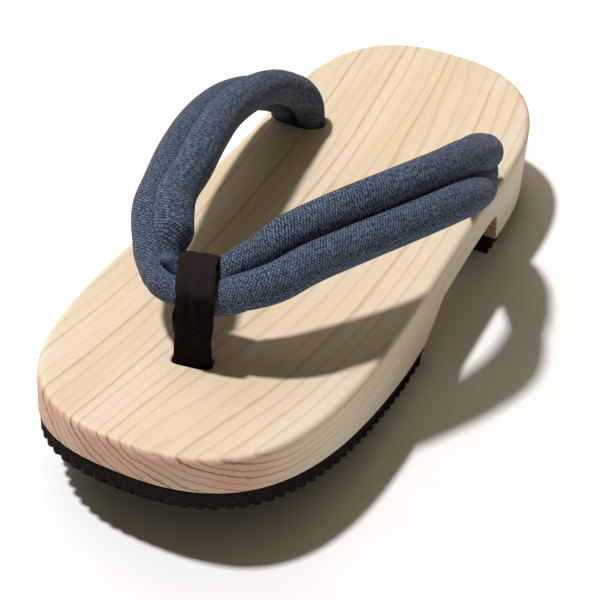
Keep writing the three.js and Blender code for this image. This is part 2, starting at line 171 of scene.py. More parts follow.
# The thong's middle line, up behind the strap from its hole, over it and down in front.
THONG_ROWS = np.array([
    # x, y, z
    (-0.8, -77.5, 24.0),
    (-1.0, -77.5, 37.0),
    (-1.8, -77.2, 43.2),
    (-3.2, -75.6, 46.4),
    (-4.9, -71.0, 47.6),
    (-5.4, -66.0, 50.4),
    (-5.6, -64.2, 55.0),
    (-5.7, -63.6, 59.2),
    (-5.6, -65.3, 62.6),
    (-4.6, -69.4, 63.9),
    (-1.6, -76.2, 63.3),
    (0.4, -80.3, 60.1),
    (1.1, -81.5, 55.0),
    (0.9, -81.2, 50.0),
    (0.2, -80.7, 43.0),
    (-0.3, -80.1, 36.0),
    (-0.3, -80.0, 24.0),
])
# The band's section, and how its width direction runs back and up as it goes to the +X side.
THONG = {
    "half_width": 5.55, "widening": 0.40, "half_thickness": 1.2, "squareness": 3.6,
    "back": 0.22, "up": 0.06,
}
# The heights at which its folds begin and at which it begins to widen over the strap, and how much
# higher each of them is full. The waver of its edge: swing, radians from end to end, and start.
THONG_BENDS = {"free": 36.0, "free_span": 6.0, "over": 44.0, "over_span": 16.0}
THONG_WAVER = [(0.12, 71.0, 0.0), (0.08, 133.0, 1.0)]
THONG_STEPS = 360
THONG_SIDES = 72

# The strap's ridges, and its creases, whose height is negative. Along is in millimetres from where the
# thong crosses it, and grows towards the -X knot. Round is in degrees: 0 is the inner lobe's side,
# 180 the outer's and 270 the top.
STRAP_FOLDS = np.array([
    # along and round to the middle, half length and half turn, slant, height
    (15.4, 318.0, 2.3, 40.0, -0.07, -3.40),
    (20.6, 318.0, 2.6, 34.0, -0.05, 0.70),
    (10.6, 300.0, 1.6, 32.0, -0.07, 1.60),
    (11.6, 268.0, 1.8, 16.0, 0.00, 0.90),
    (8.2, 235.0, 0.55, 30.0, 0.00, 0.28),
    (9.9, 225.0, 0.50, 26.0, 0.01, -0.26),
    (11.3, 232.0, 0.60, 24.0, 0.02, 0.20),
    (17.5, 282.0, 2.6, 11.0, -0.10, -0.90),
    (18.6, 318.0, 1.1, 24.0, 0.08, 0.30),
    (21.6, 330.0, 1.3, 22.0, 0.08, -0.22),
    (24.0, 205.0, 4.0, 22.0, -0.03, -0.25),
    (34.0, 338.0, 7.0, 20.0, 0.05, -0.30),
    (47.0, 215.0, 8.0, 20.0, -0.04, -0.25),
    (62.0, 330.0, 9.0, 22.0, 0.04, 0.25),
    (84.0, 345.0, 7.0, 26.0, -0.05, -0.28),
    (108.0, 330.0, 3.2, 40.0, 0.02, -0.22),
    (116.0, 340.0, 2.8, 42.0, 0.02, -0.28),
    (124.0, 350.0, 2.2, 44.0, 0.02, -0.35),
    (130.0, 355.0, 2.0, 46.0, 0.02, -0.45),
    (135.5, 0.0, 1.8, 46.0, 0.02, -0.50),
    (140.5, 0.0, 1.6, 46.0, 0.02, -0.45),
    (-7.4, 215.0, 0.50, 30.0, 0.00, 0.24),
    (-8.7, 222.0, 0.50, 26.0, -0.01, -0.24),
    (-10.2, 215.0, 0.60, 22.0, -0.02, 0.18),
    (-9.4, 320.0, 0.60, 26.0, -0.02, -0.30),
    (-16.5, 325.0, 1.4, 24.0, -0.06, -0.22),
    (-33.0, 225.0, 7.0, 20.0, 0.05, -0.22),
    (-52.0, 318.0, 8.0, 20.0, -0.04, -0.22),
    (-74.0, 212.0, 7.5, 24.0, 0.05, -0.25),
    (-96.0, 330.0, 6.0, 24.0, -0.05, -0.22),
    (-112.0, 205.0, 2.6, 40.0, 0.02, -0.28),
    (-120.0, 200.0, 2.2, 44.0, 0.02, -0.35),
    (-127.0, 195.0, 2.0, 46.0, 0.02, -0.40),
    (-126.0, 330.0, 2.4, 36.0, -0.02, -0.25),
    (-133.0, 335.0, 2.0, 40.0, -0.02, -0.35),
])

# The band's lengthwise folds, in millimetres across it and waves from end to end.
THONG_FOLDS = np.array([
    # across to the middle, half width, height, waves along
    (-3.4, 0.9, 0.16, 1.3),
    (-1.4, 0.8, -0.26, 2.1),
    (0.9, 0.9, 0.24, 1.7),
    (3.0, 0.9, -0.16, 1.1),
])

# The pith lies far up and to the +X side, so the year rings cross the block as layers that fall
# towards +X. The knot has its place and size, and how far it pushes the rings.
PITH = {"x": 90.0, "z": 155.0}
RING_WIDTH = 2.7
KNOT = {"x": -1.0, "z": 22.0, "size": 6.0, "push": 3.4}

# End grain begins where this share of the normal runs along the fibres, and is full a span later.
END_GRAIN = {"start": 0.10, "span": 0.60}

# One thread of the cloth, in metres.
YARN = 0.00047

# The camera: its place and what it looks at, its lens in millimetres and its roll in degrees.
CAMERA = {
    "place": (203.3, -473.6, 408.2), "aim": (4.5, -19.5, 20.0), "lens": 116.0, "roll": 4.1,
}

# The lights, in metres and degrees. The key's direction is the way that its rays go.
KEY = {"direction": (0.43, 0.078, -1.0), "strength": 3.0, "spread": 4.5}
SOFT_BOX = {"place": (-1.2, 0.8, 1.6), "watts": 9.0, "size": 1.8, "colour": (1.0, 0.93, 0.84)}
FILL = {"colour": (1.0, 0.84, 0.54, 1.0), "strength": 0.13}
FLOOR_REACH = 4.0


# ---- Shapes of the whole sandal ----

def end_round(distance, share, power):
    """A superellipse quarter: 0 at the very end, 1 where the rounded end is over."""
    left = np.clip(1.0 - distance / share, 0.0, None)
    return np.clip(1.0 - left ** power, 0.0, None) ** (1.0 / power)


def half_width(u):
    """Half the base's width at share u from toe to heel: a parabola in u, rounded off at both ends."""
    off_centre = u - 0.5
    width = MID_WIDTH + WIDTH_SLOPE * off_centre + WIDTH_FLARE * off_centre ** 2
    return 0.5 * width * end_round(u, **TOE_ROUND) * end_round(1.0 - u, **HEEL_ROUND)


def deck_height(y):
    """The deck's height: a straight line from toe to heel less a parabola that is 0 at both."""
    u = y / LENGTH + 0.5
    return DECK_TOE + (DECK_HEEL - DECK_TOE) * u + DECK_SAG * ((2.0 * u - 1.0) ** 2 - 1.0)


def front_bottom(y):
    """Underside of the wood's front block: flat where it stands, rising to the toe as a power."""
    share = np.clip((FLAT_FRONT - y) / (FLAT_FRONT - TOE), 0.0, None)
    return WOOD_BOTTOM + (TOE_BOTTOM - WOOD_BOTTOM) * share ** SPRING_POWER


def rounded_corners(points, radius, steps=5):
    """A polyline of y and z with each inner corner swapped for a short quadratic curve that starts
    and ends radius away from it."""
    line = [points[0]]
    for before, corner, after in zip(points[:-2], points[1:-1], points[2:]):
        inward = (before - corner) / np.linalg.norm(before - corner)
        onward = (after - corner) / np.linalg.norm(after - corner)
        start, end = corner + radius * inward, corner + radius * onward
        for t in np.linspace(0.0, 1.0, steps):
            line.append((1 - t) ** 2 * start + 2 * t * (1 - t) * corner + t ** 2 * end)
    line.append(points[-1])
    return np.array(line)


def arch_profile():
    """y and z of the underside from the front block's flat to the heel's, through the arch."""
    return rounded_corners(np.array([
        (FLAT_FRONT, WOOD_BOTTOM),
        (FLAT_REAR, WOOD_BOTTOM),
        (ARCH_FRONT["y"] - 1.0, ARCH_FRONT["z"] - 2.6),
        (ARCH_FRONT["y"] + 3.0, ARCH_FRONT["z"] + 0.4),
        (ARCH_REAR["y"] - 2.0, ARCH_REAR["z"]),
        (ARCH_REAR["y"], ARCH_REAR["z"] - 2.0),
        (HEEL_FRONT, WOOD_BOTTOM),
        (HEEL, WOOD_BOTTOM),
    ]), ARCH_CORNER)


ARCH_PROFILE = arch_profile()


def underside(y):
    """Height of the wood's underside at y."""
    arch = np.interp(y, ARCH_PROFILE[:, 0], ARCH_PROFILE[:, 1])
    return np.where(y < FLAT_FRONT, front_bottom(y), arch)


def outline(u):
    """Points on the +X half of the outline at shares u, and the unit normals that point inwards."""
    step = 1e-4
    points = np.stack([half_width(u), LENGTH * (u - 0.5)], axis=1)
    ahead, behind = np.clip(u + step, 0, 1), np.clip(u - step, 0, 1)
    run = np.stack([half_width(ahead) - half_width(behind), LENGTH * (ahead - behind)], axis=1)
    run[u <= step] = (1.0, 0.0)
    run[u >= 1.0 - step] = (-1.0, 0.0)
    run /= np.linalg.norm(run, axis=1, keepdims=True)
    return points, np.stack([-run[:, 1], run[:, 0]], axis=1)


def even_shares(spacing, start=0.0, end=1.0):
    """Shares u from toe to heel whose outline points lie about spacing apart round the edge, and
    how far round the edge from the toe's tip each one lies."""
    fine = 0.5 * (1.0 - np.cos(np.linspace(0.0, math.pi, 8001)))
    x, y = half_width(fine), LENGTH * fine
    travelled = np.concatenate([[0.0], np.cumsum(np.hypot(np.diff(x), np.diff(y)))])
    first, last = np.interp([start, end], fine, travelled)
    marks = np.linspace(first, last, max(2, round((last - first) / spacing) + 1))
    return np.interp(marks, travelled, fine), marks


# ---- Making meshes ----

def shifted(points):
    """Points of the sandal's own frame in the row frame, in metres."""
    return (points + np.array([MIDDLE_X, 0.0, 0.0])) * MM


def new_piece(name, points, faces, merge=0.0):
    """A mesh object in the row frame from points in millimetres and rows of vertex numbers.
    Points closer together than merge become one, which closes seams and poles."""
    mesh = bpy.data.meshes.new(name)
    mesh.from_pydata(shifted(points), [], faces.tolist())
    piece = bpy.data.objects.new(name, mesh)
    bpy.context.scene.collection.objects.link(piece)
    if merge:
        weld(mesh, merge * MM)
    mesh.shade_smooth()
    return piece


def weld(mesh, distance):
    """Merges near points, drops what that leaves without area, and turns every face outwards."""
    work = bmesh.new()
    work.from_mesh(mesh)
    bmesh.ops.remove_doubles(work, verts=work.verts, dist=distance)
    bmesh.ops.dissolve_degenerate(work, edges=work.edges, dist=distance * 0.5)
    bmesh.ops.recalc_face_normals(work, faces=work.faces)
    work.to_mesh(mesh)
    work.free()


def ring_faces(rows, columns):
    """Four-cornered faces of a grid of rows by columns points whose columns close on themselves."""
    row, column = np.meshgrid(np.arange(rows - 1), np.arange(columns), indexing="ij")
    after = (column + 1) % columns
    corners = [row * columns + column, row * columns + after]
    corners += [(row + 1) * columns + after, (row + 1) * columns + column]
    return np.stack(corners, axis=-1).reshape(-1, 4)


def slab(u, top, bottom, inset=0.0, rim=RIM_RADIUS, ease=FOOT_EASE, across=24, notch=None):
    """Skin of a slab with the sandal's outline. Each station u gives a ring that goes across the
    underside, up the +X wall, across the top and down the other wall, with quarter circles of
    radius rim above and ease below. notch moves the lower edge in at each station. At the toe's tip
    and the heel's end a ring has no width and so shuts on itself."""
    points, inward = outline(u)
    turn = np.linspace(0.0, 0.5 * math.pi, EDGE_STEPS)
    bites = np.zeros(len(u)) if notch is None else notch

    def edge(depth, surface, rise):
        """Outline points moved in by depth, at the height of a surface there plus rise."""
        x = np.clip(points[:, 0] + (inset + depth) * inward[:, 0], 0.0, None)
        y = points[:, 1] + (inset + depth) * inward[:, 1]
        return np.stack([x, y, surface(y) + rise], axis=1)

    lower = [
        edge(ease * (1 - math.cos(a)) + bites, bottom, ease * (1 - math.sin(a)))
        for a in turn[::-1]
    ]
    upper = [
        edge(rim * (1 - math.cos(a)), top, -rim * (1 - math.sin(a)))
        for a in turn
    ]
    wall = [lower[-1] + (upper[0] - lower[-1]) * t for t in (0.25, 0.5, 0.75)]
    right = lower + wall + upper
    left = [row * (-1, 1, 1) for row in right[::-1]]
    shares = np.linspace(0.0, 1.0, across + 1)[1:-1]
    over = [right[-1] + (left[0] - right[-1]) * t for t in shares]
    under = [left[-1] + (right[0] - left[-1]) * t for t in shares]
    return np.stack(right + over + left + under, axis=1)


def slab_piece(name, grid, merge=0.02):
    """A closed mesh object from a slab's rings."""
    rows, columns = grid.shape[:2]
    return new_piece(name, grid.reshape(-1, 3), ring_faces(rows, columns), merge)


def drawn_shut(grid, last):
    """The grid with its first or last ring repeated at the ring's middle height."""
    ring = grid[-1 if last else 0].copy()
    ring[:, 2] = 0.5 * (ring[:, 2].min() + ring[:, 2].max())
    return np.concatenate([grid, ring[None]] if last else [ring[None], grid])


# ---- Base ----

def superellipse(angle, power):
    """How far a superellipse of half size 1 reaches at an angle: 2 is a circle, 4 nearly square."""
    return (np.abs(np.cos(angle)) ** power + np.abs(np.sin(angle)) ** power) ** (-1.0 / power)


def hole_cutter(name, centre, half_x, half_y, power, stations, slant=0.0, turn=0.0, sides=72):
    """A closed plug of superellipse sections, one for each station of height and flare. A slant in
    degrees leads it backwards as it rises through the third number of its centre, and a turn in
    degrees swings its sections round."""
    angle = np.linspace(0.0, 2 * math.pi, sides, endpoint=False)
    reach = superellipse(angle, power)
    cosine, sine = math.cos(math.radians(turn)), math.sin(math.radians(turn))
    rings = []
    for height, flare in stations:
        lead = (height - centre[2]) * math.tan(math.radians(slant))
        x = (half_x + flare) * reach * np.cos(angle)
        y = (half_y + flare) * reach * np.sin(angle)
        across = centre[0] + cosine * x - sine * y
        back = centre[1] + lead + sine * x + cosine * y
        rings.append(np.stack([across, back, np.full(sides, height)], axis=1))
    first, last = rings[0].mean(0), rings[-1].mean(0)
    rings = [np.tile(first, (sides, 1))] + rings + [np.tile(last, (sides, 1))]
    grid = np.stack(rings)
    return new_piece(name, grid.reshape(-1, 3), ring_faces(*grid.shape[:2]), 0.001)


def flare_up(height, radius):
    """Stations that widen as a quarter circle up to height, and go on straight above it."""
    turn = np.linspace(0.0, 0.5 * math.pi, 5)
    stations = [(height - radius * (1 - math.sin(a)), radius * (1 - math.cos(a))) for a in turn]
    return stations + [(height + CUTTER_RISE, radius)]


def bored(piece, cutters):
    """The piece with the cutters taken out of it, as a plain mesh."""
    for cutter in cutters:
        cut = piece.modifiers.new("bore", "BOOLEAN")
        cut.operation = "DIFFERENCE"
        cut.solver = "EXACT"
        cut.object = cutter
    graph = bpy.context.evaluated_depsgraph_get()
    mesh = bpy.data.meshes.new_from_object(piece.evaluated_get(graph))
    piece.modifiers.clear()
    piece.data = mesh
    for cutter in cutters:
        bpy.data.objects.remove(cutter)


def bore(name, hole, side=1):
    """The cutter of one hole in the deck, from its floor to above the deck, on the +X side or, with
    side -1, on the other."""
    deck = float(deck_height(hole["y"]))
    stations = [(hole["floor"], 0.0)] + flare_up(deck, hole["flare"])
    return hole_cutter(
        name, (side * hole["x"], hole["y"], deck), hole["half_width"], hole["half_depth"],
        hole["power"], stations, slant=hole["slant"], turn=hole["turn"],
    )


def base_stations():
    """Shares u along the base, BASE_SPACING apart round the edge, with one at each bend of the
    arch in place of any that lies next to it."""
    u = even_shares(BASE_SPACING)[0]
    bends = ARCH_PROFILE[:-1, 0] / LENGTH + 0.5
    clear = np.abs(u[:, None] - bends[None]).min(1) > 1e-3
    clear[[0, -1]] = True
    return np.sort(np.concatenate([u[clear], bends]))


def make_base():
    """The block: the outline's slab between deck and underside, bored for thong and strap."""
    base = slab_piece("wood_base", slab(base_stations(), deck_height, underside))
    cutters = [bore("front_cutter", FRONT_HOLE)]
    cutters += [bore("rear_cutter", REAR_SLOT, side) for side in (1, -1)]
    bored(base, cutters)
    base.data.shade_smooth()
    base.data.set_sharp_from_angle(angle=math.radians(32))
    mark_end_grain(base.data)
    base.data.materials.append(cedar())
    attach(base, "root")
    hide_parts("base")


def mark_end_grain(mesh):
    """Stores on each point how squarely the surface there cuts across the fibres, which run along y:
    a smoothstep of the normal's share along y. The walls of the bored holes, which lie inside the
    outline, do not count."""
    normals = np.empty(len(mesh.vertices) * 3, np.float32)
    mesh.vertices.foreach_get("normal", normals)
    across = np.abs(normals.reshape(-1, 3)[:, 1])
    smooth = np.clip((across - END_GRAIN["start"]) / END_GRAIN["span"], 0.0, 1.0)
    smooth = smooth * smooth * (3.0 - 2.0 * smooth)
    places = np.empty(len(mesh.vertices) * 3, np.float32)
    mesh.vertices.foreach_get("co", places)
    x, y, z = places.reshape(-1, 3).T / MM
    x = x - MIDDLE_X
    inside = half_width(np.clip(y / LENGTH + 0.5, 0.0, 1.0)) - np.abs(x) > 1.0
    bored_wall = inside & (np.abs(y) < 0.4 * LENGTH) & (z > ARCH_REAR["z"] + 0.5)
    smooth = np.where(bored_wall, 0.0, smooth)
    attribute = mesh.attributes.new("end_grain", "FLOAT", "POINT")
    attribute.data.foreach_set("value", smooth.astype(np.float32))


# ---- Soles ----

def tread_bites(travelled):
    """Depth of the tread's bite into the edge: crests TREAD_PITCH apart round the outline,
    with uneven wear from slow waves."""
    wave = np.abs(np.sin(math.pi * travelled / TREAD_PITCH))
    swings = (swing * np.sin(travelled * rate + start) for swing, rate, start in WEAR_WAVES)
    return TREAD_DEPTH * (TREAD_WEAR + sum(swings)) * (1.0 - wave) ** 1.3


def cut_tread(grid, bite, u):
    """The grid with its underside raised between the crests, and less at the outline's ends, where the
    rings crowd together along y."""
    spread = np.gradient(LENGTH * u) / np.gradient(np.arange(len(u)))
    crowd = np.clip(spread / (0.5 * TREAD_SPACING), 0.0, 1.0)
    low = grid[:, :, 2].min(1, keepdims=True)
    share = np.clip(1.0 - (grid[:, :, 2] - low) / NOTCH_HEIGHT, 0.0, 1.0)
    raised = grid.copy()
    raised[:, :, 2] += share * (bite * crowd)[:, None]
    return raised


def make_pad(name, node, inset, start, end, lift, finish):
    """A rubber pad with the wood's outline between two shares along it, whose underside lies lift(y)
    less the wood's height above the floor. Grooves underneath notch its edge."""
    u, travelled = even_shares(TREAD_SPACING, start, end)
    bite = tread_bites(travelled)

    def top(y):
        """The pad's upper side, a gap below the wood."""
        return lift(y) - GAP

    def bottom(y):
        """The pad's underside."""
        return lift(y) - WOOD_BOTTOM

    grid = slab(u, top, bottom, inset, rim=PAD_EDGE, ease=PAD_EDGE, across=30, notch=bite)
    grid = drawn_shut(cut_tread(grid, bite, u), last=node == "front_sole")
    pad = slab_piece(name, grid)
    pad.data.set_sharp_from_angle(angle=math.radians(50))
    pad.data.materials.append(finish)
    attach(pad, "root")
    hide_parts(node)


def heel_lift(y):
    """The wood's flat underside over the heel pad."""
    return np.full_like(y, WOOD_BOTTOM)


def make_soles():
    """The front pad springs to the toe with the wood, and the heel pad lies flat."""
    front_end = FLAT_REAR / LENGTH + 0.5
    heel_start = HEEL_FRONT / LENGTH + 0.5
    finish = rubber()
    make_pad("front_pad", "front_sole", FRONT_SOLE_INSET, 0.0, front_end, front_bottom, finish)
    make_pad("heel_pad", "heel_sole", HEEL_SOLE_INSET, heel_start, 1.0, heel_lift, finish)


# ---- Strap ----

def through_rows(rows, t):
    """A centripetal Catmull-Rom curve through the rows, read at shares t of the way along them."""
    first, last = 2 * rows[0] - rows[1], 2 * rows[-1] - rows[-2]
    padded = np.concatenate([[first], rows, [last]])
    place = np.clip(t, 0.0, 1.0) * (len(rows) - 1)
    cell = np.minimum(place.astype(int), len(rows) - 2)
    w = (place - cell)[:, None]
    a, b, c, d = (padded[cell + k] for k in range(4))
    gaps = [np.maximum(np.linalg.norm(q - p, axis=1, keepdims=True) ** 0.5, 1e-4)
            for p, q in ((a, b), (b, c), (c, d))]
    before, here, after = gaps
    start = ((b - a) / before - (c - a) / (before + here) + (c - b) / here) * here
    end = ((c - b) / here - (d - b) / (here + after) + (d - c) / after) * here
    return (
        (2 * w ** 3 - 3 * w ** 2 + 1) * b + (w ** 3 - 2 * w ** 2 + w) * start
        + (3 * w ** 2 - 2 * w ** 3) * c + (w ** 3 - w ** 2) * end
    )


def unit(vectors):
    """Each vector at length 1."""
    return vectors / np.linalg.norm(vectors, axis=-1, keepdims=True)


def distances(points):
    """How far along a line of points each one lies."""
    return np.concatenate([[0.0], np.cumsum(np.linalg.norm(np.diff(points, axis=0), axis=1))])


def lobe_reach(angle, spread, outer_radius, inner_radius):
    """Reach at an angle of two joined circles whose centres lie spread to either side."""
    radius = np.where(np.cos(angle) > 0, inner_radius, outer_radius)
    centre = np.minimum(spread, LOBE_LIMIT * radius)
    return centre * np.abs(np.cos(angle)) + np.sqrt(radius ** 2 - (centre * np.sin(angle)) ** 2)


def folded(reach, travelled, angle):
    """The reach with every row of STRAP_FOLDS laid on: a bell along the strap and round it, whose
    middle moves along by slant for each degree round."""
    turned = np.degrees(angle)[None]
    s = travelled[:, None]
    for along, around, half_length, half_turn, slant, height in STRAP_FOLDS:
        off = (turned - around + 180.0) % 360.0 - 180.0
        run = (s - along - slant * off) / half_length
        reach = reach + height * np.exp(-0.5 * run ** 2 - 0.5 * (off / half_turn) ** 2)
    return reach


def eased(values, rounds):
    """Each row of values averaged with its neighbours a number of rounds, the two ends held."""
    values = values.copy()
    for _ in range(rounds):
        values[1:-1] = 0.25 * values[:-2] + 0.5 * values[1:-1] + 0.25 * values[2:]
    return values


def strap_grid():
    """Rings of the two-lobed section, carried along the rows. Each ring stands square to the mean
    direction of both lobes, turned so that one lobe lies at each side of it. Distances along are
    read from the ring in the front half that lies level in x with the thong's crest."""
    t = np.linspace(0.0, 1.0, STRAP_STEPS)
    outer = through_rows(STRAP_ROWS[:, 0:3], t)
    inner = through_rows(STRAP_ROWS[:, 3:6], t)
    radii = through_rows(np.pad(STRAP_ROWS[:, 6:8], ((0, 0), (0, 1))), t)
    forward = unit(np.gradient(outer, axis=0)) + unit(np.gradient(inner, axis=0))
    forward = unit(eased(forward, EASE_ROUNDS))
    across = inner - outer
    spread = 0.5 * np.linalg.norm(across, axis=1)
    across = eased(unit(across), EASE_ROUNDS)
    across = unit(across - forward * (across * forward).sum(1, keepdims=True))
    up = np.cross(across, forward)
    middle = 0.5 * (outer + inner)
    travelled = distances(middle)
    crest = THONG_ROWS[THONG_ROWS[:, 2].argmax()]
    off_crest = np.where(middle[:, 1] > 0, np.inf, np.abs(middle[:, 0] - crest[0]))
    travelled = travelled - travelled[off_crest.argmin()]
    angle = 2 * math.pi * (np.arange(STRAP_SIDES) + 0.5) / STRAP_SIDES
    reach = lobe_reach(angle[None], spread[:, None], radii[:, 0:1], radii[:, 1:2])
    reach = folded(reach, travelled, angle)
    grid = middle[:, None] + across[:, None] * (reach * np.cos(angle))[..., None]
    return grid - up[:, None] * (reach * np.sin(angle))[..., None]


def tube_piece(name, grid):
    """A tube of rings whose ends shut on a middle point. Its UV map holds metres of cloth along the
    tube, and round it from the seam."""
    rows, columns = grid.shape[:2]
    around = np.arange(columns)
    after = (around + 1) % columns
    last_row = (rows - 1) * columns
    faces = ring_faces(rows, columns).tolist()
    hub = np.full(columns, rows * columns)
    faces += np.stack([hub, after, around], axis=1).tolist()
    faces += np.stack([hub + 1, last_row + around, last_row + after], axis=1).tolist()
    points = np.concatenate([grid.reshape(-1, 3), [grid[0].mean(0), grid[-1].mean(0)]])
    mesh = bpy.data.meshes.new(name)
    mesh.from_pydata(shifted(points), [], faces)
    piece = bpy.data.objects.new(name, mesh)
    bpy.context.scene.collection.objects.link(piece)
    along = distances(grid.mean(1))
    middle = grid[rows // 2]
    girth = distances(np.concatenate([middle, middle[:1]]))
    row, column = np.meshgrid(np.arange(rows - 1), np.arange(columns), indexing="ij")
    corners = [(row, column), (row, column + 1), (row + 1, column + 1), (row + 1, column)]
    values = np.stack([np.stack([along[r], girth[c]], axis=-1) for r, c in corners], axis=2)
    uv = np.zeros((len(mesh.loops), 2), np.float32)
    uv[:values.size // 2] = values.reshape(-1, 2) * MM
    mesh.uv_layers.new(name="cloth").data.foreach_set("uv", uv.reshape(-1))
    mesh.shade_smooth()
    return piece


def make_strap():
    """The padded strap, one piece of cloth from knot to knot."""
    strap = tube_piece("cloth_strap", strap_grid())
    strap.data.materials.append(denim())
    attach(strap, "root")
    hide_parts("strap")


def make_thong():
    """The velvet band, one loop out of its hole, over the strap's point and back. Its section is a
    superellipse with a few soft lengthwise folds that come and go along it. Its width runs back, and
    over the strap also up, as it goes to the +X side."""
    t = np.linspace(0.0, 1.0, THONG_STEPS)
    line = through_rows(THONG_ROWS, t)
    forward = unit(np.gradient(line, axis=0))
    over = np.clip((line[:, 2] - THONG_BENDS["over"]) / THONG_BENDS["over_span"], 0.0, 1.0)
    side = np.stack([np.ones_like(t), np.full_like(t, THONG["back"]), THONG["up"] * over], axis=1)
    side = unit(side - forward * (side * forward).sum(1, keepdims=True))
    out = np.cross(side, forward)
    angle = 2 * math.pi * (np.arange(THONG_SIDES) + 0.5) / THONG_SIDES
    reach = superellipse(angle, THONG["squareness"])
    waver = sum(swing * np.sin(t * rate + start) for swing, rate, start in THONG_WAVER)
    half = THONG["half_width"] + ((THONG["widening"] + waver) * over)[:, None]
    x = half * (reach * np.cos(angle))[None]
    z = THONG["half_thickness"] * np.tile(reach * np.sin(angle), (THONG_STEPS, 1))
    free = (line[:, 2] - THONG_BENDS["free"]) / THONG_BENDS["free_span"]
    free = np.clip(free, 0.0, 1.0)[:, None]
    face = np.abs(np.sin(angle))[None]
    for middle, width, height, waves in THONG_FOLDS:
        swell = 0.6 + 0.4 * np.sin(2 * math.pi * waves * t + middle)[:, None]
        drift = middle + 0.5 * np.sin(2 * math.pi * (waves + 0.6) * t)[:, None]
        z = z + np.sign(z) * free * face * height * swell * np.exp(-0.5 * ((x - drift) / width) ** 2)
    grid = line[:, None] + side[:, None] * x[..., None] - out[:, None] * z[..., None]
    thong = tube_piece("velvet_thong", grid)
    thong.data.materials.append(velvet())
    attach(thong, "root")
    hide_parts("front_thong")


# ---- Materials ----

def material(name):
    """A material with its shader, and a short hand for adding and joining nodes."""
    made = bpy.data.materials.new(name)
    made.use_nodes = True
    tree = made.node_tree
    shader = tree.nodes["Principled BSDF"]
    return made, Nodes(tree), shader


class Nodes:
    """Adds nodes to a tree. A number or colour given for an input is set, and a socket is joined."""

    def __init__(self, tree):
        self.tree = tree

    def add(self, kind, inputs=(), **settings):
        """A node of a kind, with its settings and its inputs."""
        node = self.tree.nodes.new(kind)
        for key, value in settings.items():
            setattr(node, key, value)
        for key, value in dict(inputs).items():
            self.feed(node.inputs[key], value)
        return node

    def feed(self, socket, value):
        """Joins a socket to an input, or sets the input to a value."""
        if isinstance(value, bpy.types.NodeSocket):
            self.tree.links.new(value, socket)
        else:
            socket.default_value = value

    def math(self, operation, *values):
        """The result of one sum."""
        node = self.add("ShaderNodeMath", operation=operation)
        for socket, value in zip(node.inputs, values):
            self.feed(socket, value)
        return node.outputs[0]

    def mix(self, factor, first, second):
        """The first colour, with the second laid over it by factor."""
        node = self.add("ShaderNodeMix", data_type="RGBA")
        for socket, value in zip((node.inputs[0], node.inputs[6], node.inputs[7]), (factor, first, second)):
            self.feed(socket, value)
        return node.outputs[2]

    def scaled(self, vector, x, y, z):
        """A vector with its three parts scaled."""
        node = self.add("ShaderNodeMapping", {"Vector": vector, "Scale": (x, y, z)})
        return node.outputs["Vector"]

    def noise(self, vector, scale, detail=2.0, roughness=0.5):
        """Soft noise from 0 to 1, about 0.5 on average."""
        node = self.add("ShaderNodeTexNoise", {
            "Vector": vector, "Scale": scale, "Detail": detail, "Roughness": roughness,
        })
        return node.outputs["Fac"]

    def swing(self, vector, detail=1.0, roughness=0.5):
        """Soft noise about 0."""
        return self.math("SUBTRACT", self.noise(vector, 1.0, detail, roughness), 0.5)

    def ramp(self, value, low, high):
        """A smooth step from 0 at low to 1 at high."""
        node = self.add("ShaderNodeMapRange", {"Value": value, "From Min": low, "From Max": high})
        node.interpolation_type = "SMOOTHSTEP"
        return node.outputs["Result"]

    def group(self, tree, **inputs):
        """A placed shader group, its inputs given in plain words."""
        node = self.add("ShaderNodeGroup", node_tree=tree)
        for key, value in inputs.items():
            self.feed(node.inputs[key.replace("_", " ").capitalize()], value)
        return node

    def bump(self, shader, height, strength, distance):
        """Feeds a shader's normal from a height."""
        node = self.add("ShaderNodeBump", {
            "Height": height, "Strength": strength, "Distance": distance,
        })
        self.feed(shader.inputs["Normal"], node.outputs["Normal"])


def new_effect(name, inputs, outputs):
    """An empty shader group with named inputs and outputs, its nodes, and its two ends."""
    tree = bpy.data.node_groups.new(name, "ShaderNodeTree")
    for socket, kind in inputs:
        tree.interface.new_socket(socket, in_out="INPUT", socket_type="NodeSocket" + kind)
    for socket, kind in outputs:
        tree.interface.new_socket(socket, in_out="OUTPUT", socket_type="NodeSocket" + kind)
    n = Nodes(tree)
    return tree, n, n.add("NodeGroupInput").outputs, n.add("NodeGroupOutput").inputs


def mottle_effect():
    """Blotches of a second colour over a first: noise of a given scale, cut softly between low and
    high, and laid on by an amount. Gives the colour and the mask."""
    tree, n, given, result = new_effect(
        "mottle",
        [("Vector", "Vector"), ("Scale", "Float"), ("Low", "Float"), ("High", "Float"),
         ("Amount", "Float"), ("First", "Color"), ("Second", "Color")],
        [("Color", "Color"), ("Mask", "Float")],
    )
    noise = n.noise(given["Vector"], given["Scale"], 3.0, 0.6)
    mask = n.ramp(noise, given["Low"], given["High"])
    n.feed(result["Mask"], mask)
    share = n.math("MULTIPLY", mask, given["Amount"])
    n.feed(result["Color"], n.mix(share, given["First"], given["Second"]))
    return tree


def rgb(r, g, b):
    """An opaque colour."""
    return (r, g, b, 1.0)


def knot_mask(n, parts):
    """A round bell in x and z about the knot, 1 at its middle."""
    kx = n.math("DIVIDE", n.math("SUBTRACT", parts.outputs["X"], KNOT["x"]), KNOT["size"])
    kz = n.math("DIVIDE", n.math("SUBTRACT", parts.outputs["Z"], KNOT["z"]), KNOT["size"])
    off = n.math("ADD", n.math("MULTIPLY", kx, kx), n.math("MULTIPLY", kz, kz))
    return n.math("POWER", 2.718, n.math("MULTIPLY", off, -1.0))


